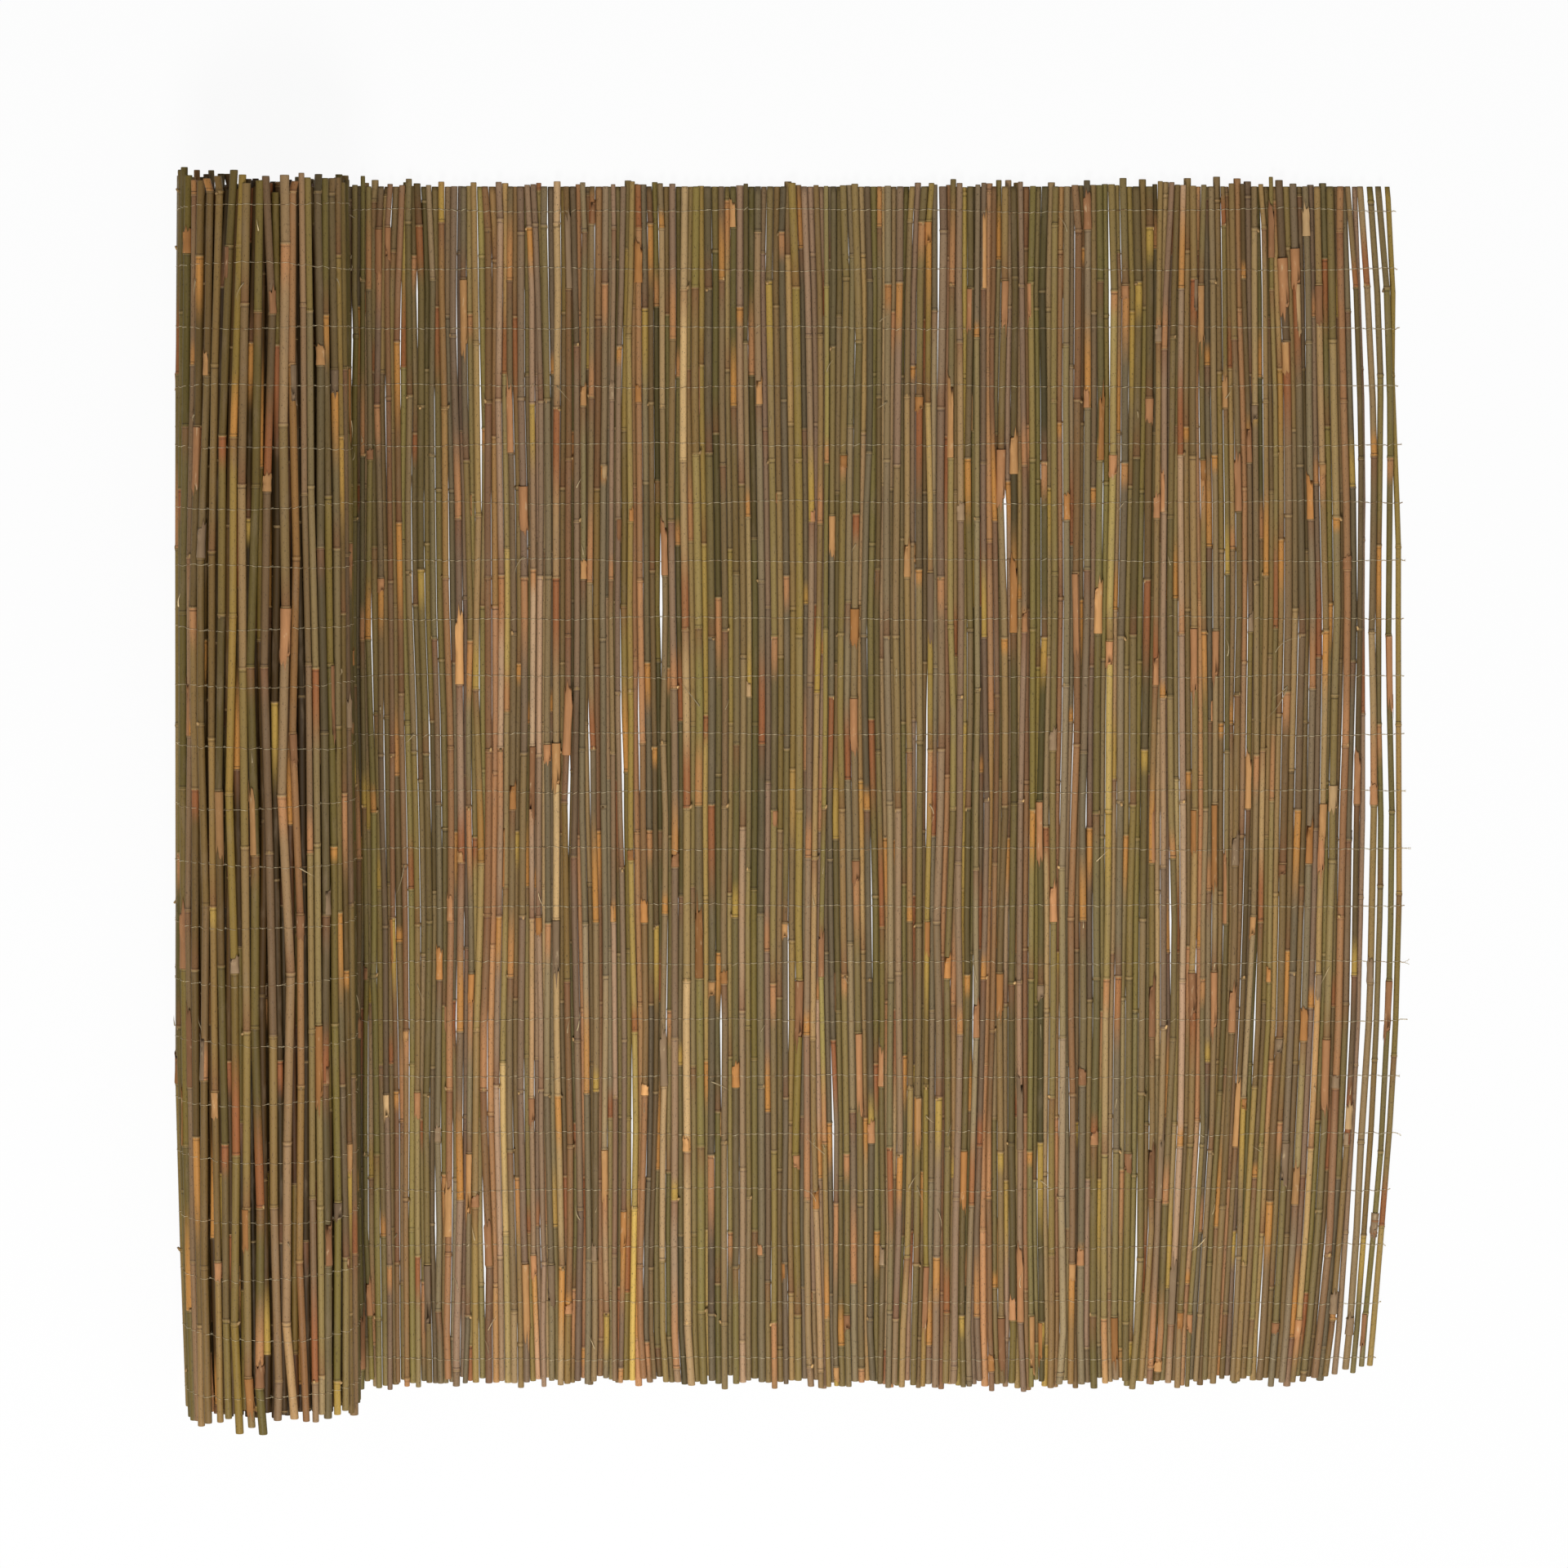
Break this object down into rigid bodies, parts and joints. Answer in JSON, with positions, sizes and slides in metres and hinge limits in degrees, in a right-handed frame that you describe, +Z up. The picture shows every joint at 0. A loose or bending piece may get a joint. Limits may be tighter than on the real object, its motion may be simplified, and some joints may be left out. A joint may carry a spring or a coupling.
{
  "type": "bamboo screening mat",
  "caption": "Natural bamboo cane screening bound with rows of galvanised wire, laid flat and still partly rolled up at one end.",
  "frame": {"origin": "middle of the whole shape's underside, on the floor that the mat lies on", "axes": "+X along the mat from the roll to its free edge, +Y along the canes from the foot ends to the head ends, +Z up from the floor, out of the mat's upper face"},
  "size_m": [2.0053, 2, 0.3096],
  "materials": {
    "cane": "satin",
    "wire": "dull galvanised"
  },
  "bodies": {
    "root": {"flat_lower_canes_01": "cane", "flat_lower_canes_02": "cane", "flat_lower_canes_03": "cane", "flat_lower_canes_04": "cane", "flat_upper_canes_01": "cane", "flat_upper_canes_02": "cane", "flat_upper_canes_03": "cane", "flat_upper_canes_04": "cane", "roll_outer_canes_01": "cane", "roll_outer_canes_02": "cane", "roll_outer_canes_03": "cane", "roll_outer_canes_04": "cane", "roll_outer_canes_05": "cane", "roll_outer_canes_06": "cane", "roll_outer_canes_07": "cane", "roll_outer_canes_08": "cane", "roll_outer_canes_09": "cane", "roll_outer_canes_10": "cane", "roll_inner_canes_01": "cane", "roll_inner_canes_02": "cane", "roll_inner_canes_03": "cane", "roll_inner_canes_04": "cane", "roll_inner_canes_05": "cane", "roll_inner_canes_06": "cane", "roll_inner_canes_07": "cane", "roll_inner_canes_08": "cane", "roll_inner_canes_09": "cane", "roll_inner_canes_10": "cane", "binding_wire_01": "wire", "binding_wire_02": "wire", "binding_wire_03": "wire", "binding_wire_04": "wire", "binding_wire_05": "wire", "binding_wire_06": "wire", "binding_wire_07": "wire", "binding_wire_08": "wire", "binding_wire_09": "wire", "binding_wire_10": "wire", "binding_wire_11": "wire", "binding_wire_12": "wire", "binding_wire_13": "wire", "binding_wire_14": "wire", "binding_wire_15": "wire", "binding_wire_16": "wire", "binding_wire_17": "wire", "binding_wire_18": "wire", "binding_wire_19": "wire", "binding_wire_20": "wire", "binding_wire_21": "wire"}
  },
  "joints": []
}
